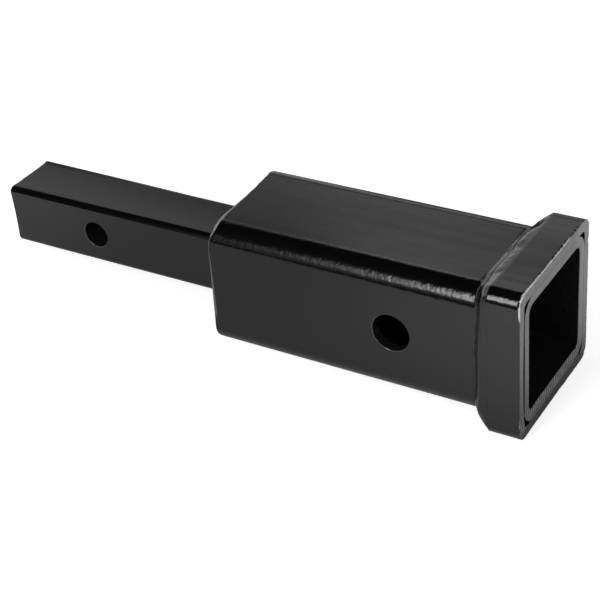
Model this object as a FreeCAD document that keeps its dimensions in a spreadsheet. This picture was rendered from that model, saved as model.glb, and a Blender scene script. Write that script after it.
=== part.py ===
import FreeCAD, Part
import math
import os
import Sketcher
from FreeCAD import Vector

# Hitch receiver adapter, in millimetres.
# The origin is the middle of the shank's pin hole. X runs along the adapter, from the shank's
# free end to the mouth of the receiver tube. Y runs along both pin holes. Z is up.

SIZES = [
    ("tube_outer", "63.5", "side of the receiver tube, outside"),
    ("tube_wall", "4.76", "wall of the receiver tube"),
    ("tube_corner", "9.0", "outside corner radius of the receiver tube"),
    ("tube_length", "155.5", "length of the receiver tube"),
    ("tube_hole", "18.0", "pin hole in the receiver tube, across"),
    ("tube_hole_setback", "62.7", "mouth of the receiver tube to the middle of its pin hole"),
    ("shank_side", "31.4", "side of the square shank"),
    ("shank_corner", "2.9", "corner radius of the shank"),
    ("shank_length", "132.5", "length of the shank behind the back plate"),
    ("shank_hole", "13.5", "pin hole in the shank, across"),
    ("shank_hole_setback", "52.3", "free end of the shank to the middle of its pin hole"),
    ("shank_end_bevel", "1.0", "bevel round the free end of the shank"),
    ("plate_thick", "6.35", "thickness of the back plate"),
    ("plate_fit", "0.3", "gap between the back plate and the tube's bore, on each side"),
    ("collar_band", "4.76", "thickness of the collar's band"),
    ("collar_length", "15.4", "length of the collar along the tube"),
    ("collar_corner", "5.7", "outside corner radius of the collar"),
    ("collar_inner_corner", "3.0", "inside corner radius of the collar"),
    ("collar_fit", "0.3", "gap between the tube and the collar, on each side"),
    ("collar_edge_round", "0.5", "rounding of the collar's outer front edge"),
    ("collar_weld_slope", "5.7", "length of the slope of the collar's weld"),
    ("collar_weld_belly", "2.3", "foot of the slope to its belly, along the tube"),
    ("collar_weld_belly_height", "2.7", "height of the slope's belly"),
    ("collar_weld_toe", "2.4", "width of the low toe of the collar's weld"),
    ("collar_weld_valley", "0.45", "height of the valley between the slope and the toe"),
    ("collar_weld_crest", "0.85", "height of the crest of the toe"),
    ("plate_weld_height", "2.6", "how far the back plate's weld stands out behind the tube"),
    ("plate_weld_brow", "1.6", "height at which the back plate's weld turns in"),
    ("plate_weld_brow_inset", "0.9", "outside of the tube in to the turn of the back plate's weld"),
    ("plate_weld_inset", "3.2", "outside of the tube in to the crest of the back plate's weld"),
    ("plate_weld_crest", "0.7", "width of the crest of the back plate's weld"),
    ("plate_weld_reach", "2.4", "how far the back plate's weld reaches in over the plate"),
    ("shank_weld_leg", "6.0", "leg of the weld round the shank"),
    ("shank_weld_waist", "2.5", "height of the weld round the shank at half its leg"),
    ("weld_edge", "0.25", "thickness at which a weld's toe ends"),
]

doc = FreeCAD.newDocument("hitch_receiver_adapter")

sheet = doc.addObject("Spreadsheet::Sheet", "Sizes")
for row, (alias, value, note) in enumerate(SIZES, start=1):
    sheet.set(f"A{row}", note)
    sheet.set(f"B{row}", value)
    sheet.setAlias(f"B{row}", alias)
doc.recompute()

# Places along X, from the origin at the shank's pin hole.
SHANK_END = "-Sizes.shank_hole_setback"
SHANK_HOLE = f"{SHANK_END} + Sizes.shank_hole_setback"
TUBE_BACK = f"{SHANK_END} + Sizes.shank_length"
MOUTH = f"{TUBE_BACK} + Sizes.tube_length"
TUBE_HOLE = f"{MOUTH} - Sizes.tube_hole_setback"
COLLAR_BACK = f"{MOUTH} - Sizes.collar_length"
SLOPE_FOOT = f"{COLLAR_BACK} - Sizes.collar_weld_slope"
SLOPE_BELLY = f"{SLOPE_FOOT} + Sizes.collar_weld_belly"
TOE_CREST = f"{SLOPE_FOOT} - Sizes.collar_weld_toe / 2"
TOE_END = f"{SLOPE_FOOT} - Sizes.collar_weld_toe"
BROW = f"{TUBE_BACK} - Sizes.plate_weld_brow"
CREST = f"{TUBE_BACK} - Sizes.plate_weld_height"

# Sides and corner radii that follow from the sheet.
TUBE_BORE = "Sizes.tube_outer - 2 * Sizes.tube_wall"
TUBE_BORE_CORNER = "max(Sizes.tube_corner - Sizes.tube_wall; 0.5)"
COLLAR_BORE = "Sizes.tube_outer + 2 * Sizes.collar_fit"
COLLAR_SIDE = f"{COLLAR_BORE} + 2 * Sizes.collar_band"


def around(side, corner, height):
    """Return side and corner radius of the outline that lies height outside a rounded square."""
    return f"{side} + 2 * ({height})", f"{corner} + {height}"


def within(side, corner, depth):
    """Return side and corner radius of the outline that lies depth inside a rounded square."""
    return f"{side} - 2 * ({depth})", f"max({corner} - ({depth}); 0.5)"


def new_body(label):
    """Return an empty body for one piece of the adapter."""
    body = doc.addObject("PartDesign::Body", label)
    body.Label = label
    return body


def new_sketch(body, name, plane_role):
    """Return a sketch that lies flat on one of the body's own origin planes."""
    sketch = body.newObject("Sketcher::SketchObject", name)
    plane = next(item for item in body.Origin.OriginFeatures if item.Role == plane_role)
    sketch.AttachmentSupport = (plane, [""])
    sketch.MapMode = "FlatFace"
    return sketch


def drive(sketch, label, constraint, expression):
    """Add a named constraint to a sketch and bind it to the sheet."""
    index = sketch.addConstraint(constraint)
    sketch.renameConstraint(index, label)
    sketch.setExpression(f"Constraints.{label}", expression)


def square_sketch(body, name, side, corner, place):
    """Return a rounded square across the adapter, at a place along X."""
    sketch = new_sketch(body, name, "YZ_Plane")
    sketch.setExpression("AttachmentOffset.Base.z", place)
    half = float(sketch.evalExpression(side)) / 2
    radius = float(sketch.evalExpression(corner))
    flat = half - radius
    ends = [
        ((-flat, -half), (flat, -half)),
        ((half, -flat), (half, flat)),
        ((flat, half), (-flat, half)),
        ((-half, flat), (-half, -flat)),
    ]
    lines = [sketch.addGeometry(Part.LineSegment(Vector(*start, 0), Vector(*end, 0))) for start, end in ends]
    arcs = []
    for quarter, (y, z) in enumerate([(flat, -flat), (flat, flat), (-flat, flat), (-flat, -flat)], start=-1):
        circle = Part.Circle(Vector(y, z, 0), Vector(0, 0, 1), radius)
        arc = Part.ArcOfCircle(circle, quarter * math.pi / 2, (quarter + 1) * math.pi / 2)
        arcs.append(sketch.addGeometry(arc))
    for index, (line, arc) in enumerate(zip(lines, arcs)):
        following = lines[(index + 1) % 4]
        sketch.addConstraint(Sketcher.Constraint("Horizontal" if index % 2 == 0 else "Vertical", line))
        sketch.addConstraint(Sketcher.Constraint("Tangent", line, 2, arc, 1))
        sketch.addConstraint(Sketcher.Constraint("Tangent", arc, 2, following, 1))
    for arc in arcs[1:]:
        sketch.addConstraint(Sketcher.Constraint("Equal", arcs[0], arc))
    bottom, right, top, left = lines
    origin = -1
    sketch.addConstraint(Sketcher.Constraint("Symmetric", bottom, 1, top, 1, origin, 1))
    drive(sketch, "corner", Sketcher.Constraint("Radius", arcs[0], radius), corner)
    drive(sketch, "width", Sketcher.Constraint("DistanceX", left, 1, right, 1, 2 * half), side)
    drive(sketch, "height", Sketcher.Constraint("DistanceY", bottom, 1, top, 1, 2 * half), side)
    return sketch


def pin_sketch(body, name, across, place):
    """Return the circle of a pin hole that runs along Y, at a place along X."""
    sketch = new_sketch(body, name, "XZ_Plane")
    sketch.setExpression("AttachmentOffset.Base.x", place)
    radius = float(sketch.evalExpression(across)) / 2
    circle = sketch.addGeometry(Part.Circle(Vector(0, 0, 0), Vector(0, 0, 1), radius))
    origin = -1
    sketch.addConstraint(Sketcher.Constraint("Coincident", circle, 3, origin, 1))
    drive(sketch, "across", Sketcher.Constraint("Diameter", circle, 2 * radius), across)
    return sketch


def pad(body, name, sketch, length):
    """Extrude a sketch towards the mouth."""
    feature = body.newObject("PartDesign::Pad", name)
    feature.Profile = sketch
    feature.setExpression("Length", length)
    doc.recompute()
    return feature


def loft(body, name, sketches, kind="Additive"):
    """Run a straight-sided skin through sketches in order, to add to the body or to cut it."""
    feature = body.newObject(f"PartDesign::{kind}Loft", name)
    feature.Profile = sketches[0]
    feature.Sections = sketches[1:]
    feature.Ruled = True
    doc.recompute()
    return feature


def cut_through(body, name, sketch):
    """Cut a sketch right through the body, both ways."""
    before = body.Shape.Volume
    feature = body.newObject("PartDesign::Pocket", name)
    feature.Profile = sketch
    feature.Type = "ThroughAll"
    feature.SideType = "Symmetric"
    doc.recompute()
    if not body.Shape.Volume < before:
        raise ValueError(f"{name} removed nothing from {body.Label}")
    return feature


def edges_at(feature, x, least_reach):
    """Name a feature's edges that lie at x and at least least_reach from the axis in Y or Z."""
    names = []
    for number, edge in enumerate(feature.Shape.Edges, start=1):
        box = edge.BoundBox
        flat = abs(box.XMin - x) < 0.01 and abs(box.XMax - x) < 0.01
        reach = max(abs(box.YMin), abs(box.YMax), abs(box.ZMin), abs(box.ZMax))
        if flat and reach > least_reach:
            names.append(f"Edge{number}")
    return names


def number(expression):
    """Return the value of an expression on the sheet."""
    return float(sheet.evalExpression(expression))


def shank_bar():
    """Solid square bar with bevelled free end and a cross hole for its pin."""
    body = new_body("shank_bar")
    outline = square_sketch(body, "shank_outline", "Sizes.shank_side", "Sizes.shank_corner", SHANK_END)
    bar = pad(body, "shank_pad", outline, "Sizes.shank_length")
    bevel = body.newObject("PartDesign::Chamfer", "shank_bevel")
    bevel.Base = (bar, edges_at(bar, number(SHANK_END), 0))
    bevel.setExpression("Size", "Sizes.shank_end_bevel")
    doc.recompute()
    hole = pin_sketch(body, "shank_hole_circle", "Sizes.shank_hole", SHANK_HOLE)
    cut_through(body, "shank_hole_cut", hole)
    return body


def receiver_tube():
    """Square tube with rounded corners and a cross hole through both side walls."""
    body = new_body("receiver_tube")
    outline = square_sketch(body, "tube_outline", "Sizes.tube_outer", "Sizes.tube_corner", TUBE_BACK)
    pad(body, "tube_pad", outline, "Sizes.tube_length")
    bore = square_sketch(body, "tube_bore", TUBE_BORE, TUBE_BORE_CORNER, TUBE_BACK)
    cut_through(body, "tube_bore_cut", bore)
    hole = pin_sketch(body, "tube_hole_circle", "Sizes.tube_hole", TUBE_HOLE)
    cut_through(body, "tube_hole_cut", hole)
    return body


def back_plate():
    """Square plate inside the tube's rear end, flush with it."""
    body = new_body("back_plate")
    side, corner = within(TUBE_BORE, TUBE_BORE_CORNER, "Sizes.plate_fit")
    outline = square_sketch(body, "plate_outline", side, corner, TUBE_BACK)
    pad(body, "plate_pad", outline, "Sizes.plate_thick")
    return body


def mouth_collar():
    """Band round the mouth, with tight inside corners that stand off the tube's round ones."""
    body = new_body("mouth_collar")
    outline = square_sketch(body, "collar_outline", COLLAR_SIDE, "Sizes.collar_corner", COLLAR_BACK)
    band = pad(body, "collar_pad", outline, "Sizes.collar_length")
    front = body.newObject("PartDesign::Fillet", "collar_edge")
    front.Base = (band, edges_at(band, number(MOUTH), 0))
    front.setExpression("Radius", "Sizes.collar_edge_round")
    doc.recompute()
    bore = square_sketch(body, "collar_bore", COLLAR_BORE, "Sizes.collar_inner_corner", COLLAR_BACK)
    cut_through(body, "collar_bore_cut", bore)
    return body


def collar_weld():
    """Fillet bead behind the collar: a full slope down to a valley, then a low rounded toe."""
    body = new_body("collar_weld")
    heights = [
        ("collar_weld_end", "Sizes.weld_edge", TOE_END),
        ("collar_weld_top", "Sizes.collar_weld_crest", TOE_CREST),
        ("collar_weld_foot", "Sizes.collar_weld_valley", SLOPE_FOOT),
        ("collar_weld_bulge", "Sizes.collar_weld_belly_height", SLOPE_BELLY),
    ]
    sections = [
        square_sketch(body, name, *around("Sizes.tube_outer", "Sizes.tube_corner", height), place)
        for name, height, place in heights
    ]
    shoulder = square_sketch(body, "collar_weld_shoulder", COLLAR_SIDE, "Sizes.collar_corner", COLLAR_BACK)
    loft(body, "collar_weld_bead", [*sections, shoulder])
    bore = square_sketch(body, "collar_weld_bore", "Sizes.tube_outer", "Sizes.tube_corner", TOE_END)
    cut_through(body, "collar_weld_bore_cut", bore)
    return body


def back_plate_weld():
    """Rounded bead over the joint between the tube's rear end and the plate inside it."""
    body = new_body("back_plate_weld")
    depths = [
        ("plate_weld_root", "Sizes.weld_edge", TUBE_BACK),
        ("plate_weld_brow", "Sizes.plate_weld_brow_inset", BROW),
        ("plate_weld_top", "Sizes.plate_weld_inset", CREST),
    ]
    sections = [
        square_sketch(body, name, *within("Sizes.tube_outer", "Sizes.tube_corner", depth), place)
        for name, depth, place in depths
    ]
    loft(body, "plate_weld_bead", sections)
    foot = within(TUBE_BORE, TUBE_BORE_CORNER, "Sizes.plate_weld_reach")
    lip = within("Sizes.tube_outer", "Sizes.tube_corner", "Sizes.plate_weld_inset + Sizes.plate_weld_crest")
    hollow = [
        square_sketch(body, "plate_weld_foot", *foot, TUBE_BACK),
        square_sketch(body, "plate_weld_lip", *lip, CREST),
    ]
    loft(body, "plate_weld_hollow", hollow, "Subtractive")
    return body


def shank_weld():
    """Fillet bead round the shank, against the rear face of the plate."""
    body = new_body("shank_weld")
    heights = [
        ("shank_weld_end", "Sizes.weld_edge", f"{TUBE_BACK} - Sizes.shank_weld_leg"),
        ("shank_weld_middle", "Sizes.shank_weld_waist", f"{TUBE_BACK} - Sizes.shank_weld_leg / 2"),
        ("shank_weld_root", "Sizes.shank_weld_leg", TUBE_BACK),
    ]
    sections = [
        square_sketch(body, name, *around("Sizes.shank_side", "Sizes.shank_corner", height), place)
        for name, height, place in heights
    ]
    loft(body, "shank_weld_bead", sections)
    bore = square_sketch(body, "shank_weld_bore", "Sizes.shank_side", "Sizes.shank_corner", TUBE_BACK)
    cut_through(body, "shank_weld_bore_cut", bore)
    return body


pieces = [
    shank_bar(),
    receiver_tube(),
    back_plate(),
    mouth_collar(),
    collar_weld(),
    back_plate_weld(),
    shank_weld(),
]
doc.recompute()

for item in doc.Objects:
    if "Invalid" in item.State or "Error" in item.State:
        raise ValueError(f"{item.Label} did not build: {item.State}")
for piece in pieces:
    if piece.Shape.isNull() or not piece.Shape.isValid() or len(piece.Shape.Solids) != 1:
        raise ValueError(f"{piece.Label} is not one valid solid")

os.makedirs("parts", exist_ok=True)
for piece in pieces:
    piece.Shape.exportStep(f"parts/{piece.Label}.step")
    box = piece.Shape.BoundBox
    print(
        f"{piece.Label}: {piece.Shape.Volume:.1f} mm3,",
        f"X {box.XMin:.2f} to {box.XMax:.2f},",
        f"Y {box.YMin:.2f} to {box.YMax:.2f},",
        f"Z {box.ZMin:.2f} to {box.ZMax:.2f}",
    )
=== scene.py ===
import logging
import math
from contextlib import contextmanager
from dataclasses import dataclass, field
from enum import Enum
from typing import Any, Callable, Iterator

import bmesh
import bpy
from mathutils import Matrix, Vector, noise


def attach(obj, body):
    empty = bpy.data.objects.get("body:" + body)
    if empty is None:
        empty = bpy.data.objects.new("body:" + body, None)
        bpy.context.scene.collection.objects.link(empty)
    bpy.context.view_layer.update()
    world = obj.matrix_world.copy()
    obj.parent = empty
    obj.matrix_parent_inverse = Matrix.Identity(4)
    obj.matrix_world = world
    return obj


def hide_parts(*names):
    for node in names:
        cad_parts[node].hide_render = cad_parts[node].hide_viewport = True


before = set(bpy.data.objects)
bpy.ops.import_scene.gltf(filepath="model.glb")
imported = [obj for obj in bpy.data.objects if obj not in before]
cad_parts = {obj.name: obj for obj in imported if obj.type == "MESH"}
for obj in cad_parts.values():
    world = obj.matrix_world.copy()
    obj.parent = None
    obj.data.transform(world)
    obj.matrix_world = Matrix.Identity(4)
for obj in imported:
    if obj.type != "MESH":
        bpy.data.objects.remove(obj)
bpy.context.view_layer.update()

logging.basicConfig(level=logging.INFO, format="%(message)s")
LOG = logging.getLogger("hitch_adapter")

MM = 0.001
PHOTO_WIDTH = 600
LAYOUT_STEP = 40.0

# Places along X and sizes across, in millimetres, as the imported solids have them.
SHANK_END = -52.3
TUBE_BACK = 80.2
MOUTH = 235.7
COLLAR_BACK = 220.3
TUBE_SIDE = 63.5
TUBE_CORNER = 9.0


class Pick(Enum):
    """What is picked in edit mode."""

    POINTS = "VERT"
    EDGES = "EDGE"
    FACES = "FACE"


class Ends(Enum):
    """How a skin through outlines is finished."""

    OPEN = "open"
    CAPPED = "capped"
    RING = "ring"


def deselect_all() -> None:
    """Leave nothing selected and nothing in edit mode."""
    if bpy.context.object and bpy.context.object.mode != "OBJECT":
        bpy.ops.object.mode_set(mode="OBJECT")
    bpy.ops.object.select_all(action="DESELECT")


def take(piece: bpy.types.Object) -> None:
    """Make one piece the only selected and the active object."""
    deselect_all()
    piece.select_set(True)
    bpy.context.view_layer.objects.active = piece


@contextmanager
def editing(piece: bpy.types.Object, kind: Pick) -> Iterator[bmesh.types.BMesh]:
    """Open a piece in edit mode with nothing selected.

    Args:
        piece: The piece to edit.
        kind: What the operators pick.

    Yields:
        The mesh that is being edited.
    """
    take(piece)
    bpy.ops.object.mode_set(mode="EDIT")
    bpy.ops.mesh.select_mode(type=kind.value)
    bpy.ops.mesh.select_all(action="DESELECT")
    yield bmesh.from_edit_mesh(piece.data)
    bpy.ops.object.mode_set(mode="OBJECT")


def choose(piece: bpy.types.Object, mesh: bmesh.types.BMesh, items: Any, test: Callable[[Any], bool]) -> int:
    """Select the points, edges or faces that pass a test.

    Args:
        piece: The piece in edit mode.
        mesh: Its mesh in edit mode.
        items: The mesh's verts, edges or faces.
        test: Says whether one of them is wanted.

    Returns:
        How many were selected.
    """
    count = 0
    for item in items:
        if test(item):
            item.select_set(True)
            count += 1
    mesh.select_flush_mode()
    bmesh.update_edit_mesh(piece.data)
    return count


def settle(piece: bpy.types.Object) -> None:
    """Put a piece's place, turn and scale into its mesh."""
    take(piece)
    bpy.ops.object.transform_apply(location=True, rotation=True, scale=True)


def finish_modifier(piece: bpy.types.Object, kind: str, **settings: Any) -> None:
    """Add a modifier with the given settings and apply it.

    Args:
        piece: The piece that it shapes.
        kind: The modifier's type.
        settings: Its properties by name.
    """
    take(piece)
    modifier = piece.modifiers.new(name=kind.lower(), type=kind)
    for name, value in settings.items():
        setattr(modifier, name, value)
    bpy.ops.object.modifier_apply(modifier=modifier.name)


def smooth(piece: bpy.types.Object, sharp: float = 32.0) -> None:
    """Shade a piece smooth up to an angle, with flat faces kept flat.

    Args:
        piece: The piece to shade.
        sharp: The angle in degrees from which an edge stays sharp.
    """
    take(piece)
    bpy.ops.object.shade_smooth_by_angle(angle=math.radians(sharp))
    finish_modifier(piece, "WEIGHTED_NORMAL", mode="FACE_AREA", weight=50, keep_sharp=True)


@dataclass(frozen=True)
class Outline:
    """A rounded square across the adapter, in millimetres.

    Attributes:
        x: Its place along the adapter.
        side: Its side.
        corner: Its corner radius.
    """

    x: float
    side: float
    corner: float

    def grown(self, height: float, x: float) -> "Outline":
        """Return the outline that lies a height outside this one, at another place."""
        return Outline(x, self.side + 2 * height, max(self.corner + height, 0.3))


@dataclass(frozen=True)
class Grain:
    """How finely an outline is divided.

    Attributes:
        arc: Edges in each corner.
        flat: Cuts along each straight side.
    """

    arc: int = 16
    flat: int = 0


def trace(outline: Outline, grain: Grain, group: str) -> bpy.types.Object:
    """Draw one outline as a closed loop of edges.

    Args:
        outline: Its place and size.
        grain: Its division.
        group: The vertex group that holds its points.

    Returns:
        The loop, as an object at the origin.
    """
    deselect_all()
    bpy.ops.mesh.primitive_plane_add(
        size=outline.side * MM,
        location=(outline.x * MM, 0, 0),
        rotation=(0, math.pi / 2, 0),
    )
    loop = bpy.context.object
    settle(loop)
    with editing(loop, Pick.POINTS) as mesh:
        bpy.ops.mesh.select_all(action="SELECT")
        bpy.ops.mesh.bevel(
            offset_type="OFFSET",
            offset=outline.corner * MM,
            segments=grain.arc,
            profile=0.5,
            affect="VERTICES",
            clamp_overlap=False,
        )
        bpy.ops.mesh.delete(type="ONLY_FACE")
    if grain.flat:
        longest = (outline.side - 2 * outline.corner) * MM * 0.9
        with editing(loop, Pick.EDGES) as mesh:
            choose(loop, mesh, mesh.edges, lambda edge: edge.calc_length() > longest)
            bpy.ops.mesh.subdivide(number_cuts=grain.flat)
    points = loop.vertex_groups.new(name=group)
    points.add(range(len(loop.data.vertices)), 1.0, "REPLACE")
    return loop


def skin(name: str, outlines: list[Outline], grain: Grain, ends: Ends) -> bpy.types.Object:
    """Bridge outlines in order into one piece.

    The outlines are laid out well apart, bridged there, and then drawn to their places.

    Args:
        name: The piece's name.
        outlines: The outlines, all with the same division.
        grain: That division.
        ends: Whether the first and last stay open, are capped, or are joined to each other.

    Returns:
        The piece, with a vertex group loop_N for each outline.
    """
    groups = [f"loop_{index}" for index in range(len(outlines))]
    loops = []
    for index, (outline, group) in enumerate(zip(outlines, groups)):
        loops.append(trace(outline.grown(0, index * LAYOUT_STEP), grain, group))
    deselect_all()
    for loop in loops:
        loop.select_set(True)
    piece = loops[0]
    bpy.context.view_layer.objects.active = piece
    bpy.ops.object.join()
    piece.name = piece.data.name = name
    pairs = list(zip(groups, groups[1:]))
    if ends is Ends.RING:
        pairs.append((groups[-1], groups[0]))
    for pair in pairs:
        with editing(piece, Pick.POINTS):
            select_groups(piece, pair)
            bpy.ops.mesh.bridge_edge_loops()
    if ends is Ends.CAPPED:
        for group in (groups[0], groups[-1]):
            with editing(piece, Pick.POINTS):
                select_groups(piece, (group,))
                bpy.ops.mesh.edge_face_add()
    for index, (outline, group) in enumerate(zip(outlines, groups)):
        with editing(piece, Pick.POINTS):
            select_groups(piece, (group,))
            bpy.ops.transform.translate(value=((outline.x - index * LAYOUT_STEP) * MM, 0, 0))
    with editing(piece, Pick.FACES):
        bpy.ops.mesh.select_all(action="SELECT")
        bpy.ops.mesh.normals_make_consistent(inside=False)
    return piece


def select_groups(piece: bpy.types.Object, names: tuple[str, ...]) -> None:
    """Select the points of some vertex groups of a piece in edit mode."""
    for name in names:
        bpy.ops.object.vertex_group_set_active(group=name)
        bpy.ops.object.vertex_group_select()


def bevel_edges(piece: bpy.types.Object, test: Callable[[Any], bool], width: float, segments: int) -> None:
    """Round the edges that pass a test.

    Args:
        piece: The piece to shape.
        test: Says whether an edge is wanted.
        width: The width of the rounding, in millimetres.
        segments: How many faces it has.
    """
    with editing(piece, Pick.EDGES) as mesh:
        if not choose(piece, mesh, mesh.edges, test):
            raise ValueError(f"{piece.name}: no edges to round")
        bpy.ops.mesh.bevel(
            offset_type="OFFSET",
            offset=width * MM,
            segments=segments,
            profile=0.5,
            affect="EDGES",
            clamp_overlap=False,
        )


def bore(piece: bpy.types.Object, x: float, radius: float, reach: float) -> None:
    """Cut a round hole along Y right through a piece.

    Args:
        piece: The piece to cut.
        x: The hole's place along the adapter, in millimetres.
        radius: Its radius, in millimetres.
        reach: How far the cutter reaches in all, in millimetres.
    """
    deselect_all()
    bpy.ops.mesh.primitive_cylinder_add(
        vertices=96,
        radius=radius * MM,
        depth=reach * MM,
        location=(x * MM, 0, 0),
        rotation=(math.pi / 2, 0, 0),
    )
    cutter = bpy.context.object
    finish_modifier(piece, "BOOLEAN", operation="DIFFERENCE", solver="EXACT", object=cutter)
    bpy.data.objects.remove(cutter)


def on_circle(edge: Any, x: float, radius: float, depth: float) -> bool:
    """Say whether an edge lies on a hole's rim, at a depth from the axis in Y."""
    for vert in edge.verts:
        away = math.hypot(vert.co.x - x * MM, vert.co.z)
        if abs(away - radius * MM) > 0.02 * MM or abs(abs(vert.co.y) - depth * MM) > 0.02 * MM:
            return False
    return True


def at_place(edge: Any, x: float, slack: float = 0.01) -> bool:
    """Say whether an edge is a sharp one that lies at a place along X, in millimetres."""
    there = all(abs(vert.co.x - x * MM) < slack * MM for vert in edge.verts)
    return there and edge.calc_face_angle(0.0) > 0.5


def reach_of(point: Vector) -> float:
    """Return how far a point lies from the axis, measured square, in millimetres."""
    return max(abs(point.y), abs(point.z)) / MM


def round_about(point: Vector, outline: Outline) -> tuple[float, Vector]:
    """Find where a point lies round an outline.

    Args:
        point: A point in metres.
        outline: The rounded square it lies on or near.

    Returns:
        The way round in millimetres, from the middle of the near side upwards, and the unit vector outwards.
    """
    flat = (outline.side / 2 - outline.corner) * MM
    middle = Vector((0, max(-flat, min(flat, point.y)), max(-flat, min(flat, point.z))))
    out = Vector((0, point.y, point.z)) - middle
    if out.length < 1e-9:
        out = Vector((0, -1, 0))
    out.normalize()
    angle = math.atan2(out.z, -out.y)
    quarter = math.pi / 2
    arc = outline.corner * angle
    along = {0: middle.z, 1: middle.y, 2: -middle.z, -1: -middle.y}
    side = round(angle / quarter)
    full = 2 * flat / MM
    if side in (2, -2):
        way = 2 * full + outline.corner * (abs(angle) if angle > 0 else 2 * math.pi + angle) - middle.z / MM
    else:
        way = side * full + arc + along[side] / MM
    return way, out


def read_off(table: tuple[tuple[float, float], ...], where: float) -> float:
    """Read a value off a table, eased between its entries.

    Args:
        table: Pairs of place and value, in order of place.
        where: The place to read at.

    Returns:
        The value there, and the nearest entry's beyond the ends.
    """
    if where <= table[0][0]:
        return table[0][1]
    for (start, low), (end, high) in zip(table, table[1:]):
        if where <= end:
            share = (where - start) / (end - start)
            share = share * share * (3 - 2 * share)
            return low + (high - low) * share
    return table[-1][1]


def off_outline(point: Vector, outline: Outline) -> float:
    """Return how far a point lies outside an outline, in millimetres."""
    flat = outline.side / 2 - outline.corner
    y = abs(point.y) / MM - flat
    z = abs(point.z) / MM - flat
    if y > 0 and z > 0:
        return math.hypot(y, z) - outline.corner
    return max(y, z) - outline.corner


def knocked(
    point: Vector, x: float, radius: float, near: float, knocks: tuple[tuple[float, float], ...]
) -> Vector:
    """Find how far a point is moved by knocks on the near rim of a hole.

    Args:
        point: A point in metres.
        x: The hole's place along the adapter, in millimetres.
        radius: Its radius, in millimetres.
        near: How far the near face lies from the axis, in millimetres.
        knocks: The angle of each knock in degrees, and how far it sets the rim outwards.

    Returns:
        The move, in metres.
    """
    away = Vector((point.x - x * MM, 0, point.z))
    move = Vector((0, 0, 0))
    if point.y / MM > 0.6 - near or abs(away.length / MM - radius) > 0.7:
        return move
    for turn, depth in knocks:
        spot = Vector((math.cos(math.radians(turn)), 0, math.sin(math.radians(turn)))) * (radius * MM)
        share = max(0.0, 1 - (away - spot).length / MM)
        move += away.normalized() * (depth * share * MM)
    return move


def push(piece: bpy.types.Object, move: Callable[[Vector], Vector]) -> None:
    """Move each point of a piece by hand, by a vector that depends on its place."""
    for vert in piece.data.vertices:
        vert.co = vert.co + move(vert.co.copy())
    piece.data.update()


def bump_noise(point: Vector, size: float, seed: float) -> float:
    """Return smooth noise from about -1 to 1 with features of a size in millimetres."""
    return noise.noise(point / (size * MM) + Vector((seed, seed * 1.7, -seed)))


class Wiring:
    """A node tree that is being wired."""

    def __init__(self, tree: bpy.types.NodeTree) -> None:
        """Start on a tree."""
        self.tree = tree

    def add(self, kind: str, inputs: dict[Any, Any] | None = None, **settings: Any) -> bpy.types.Node:
        """Add a node.

        Args:
            kind: The node's type.
            inputs: Values or sockets for its inputs, by name or number.
            settings: Its properties by name.

        Returns:
            The node.
        """
        node = self.tree.nodes.new(kind)
        for name, value in settings.items():
            setattr(node, name, value)
        for key, value in (inputs or {}).items():
            if isinstance(value, bpy.types.NodeSocket):
                self.tree.links.new(value, node.inputs[key])
            else:
                node.inputs[key].default_value = value
        return node

    def math(self, operation: str, *values: Any, clamp: bool = False) -> bpy.types.NodeSocket:
        """Add a Math node and return its result."""
        node = self.add("ShaderNodeMath", dict(enumerate(values)), operation=operation, use_clamp=clamp)
        return node.outputs[0]

    def step(self, value: Any, low: float, high: float) -> bpy.types.NodeSocket:
        """Return 0 below low and 1 above high, smooth between."""
        node = self.add(
            "ShaderNodeMapRange",
            {"Value": value, "From Min": low, "From Max": high, "To Min": 0.0, "To Max": 1.0},
            interpolation_type="SMOOTHSTEP",
        )
        return node.outputs["Result"]

    def noise(self, vector: Any, size: float, detail: float = 2.0, rough: float = 0.5) -> bpy.types.NodeSocket:
        """Return noise whose features have a size in millimetres."""
        node = self.add(
            "ShaderNodeTexNoise",
            {"Vector": vector, "Scale": 1 / (size * MM), "Detail": detail, "Roughness": rough},
        )
        return node.outputs["Fac"]

    def mix(self, mask: Any, first: Any, second: Any) -> bpy.types.NodeSocket:
        """Mix two colours by a mask."""
        node = self.tree.nodes.new("ShaderNodeMix")
        node.data_type = "RGBA"
        for key, value in (("Factor_Float", mask), ("A_Color", first), ("B_Color", second)):
            socket = next(item for item in node.inputs if item.identifier == key)
            if isinstance(value, bpy.types.NodeSocket):
                self.tree.links.new(value, socket)
            else:
                socket.default_value = value
        return next(item for item in node.outputs if item.identifier == "Result_Color")


def new_group(name: str, inputs: dict[str, float], outputs: tuple[str, ...]) -> tuple[Any, Wiring, Any, Any]:
    """Make a shader node group with number sockets.

    Args:
        name: The group's name.
        inputs: Its inputs and their defaults.
        outputs: Its outputs.

    Returns:
        The group, its wiring, and its input and output nodes.
    """
    tree = bpy.data.node_groups.new(name, "ShaderNodeTree")
    for label, value in inputs.items():
        socket = tree.interface.new_socket(name=label, in_out="INPUT", socket_type="NodeSocketFloat")
        socket.default_value = value
    for label in outputs:
        tree.interface.new_socket(name=label, in_out="OUTPUT", socket_type="NodeSocketFloat")
    wiring = Wiring(tree)
    return tree, wiring, wiring.add("NodeGroupInput"), wiring.add("NodeGroupOutput")


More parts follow.
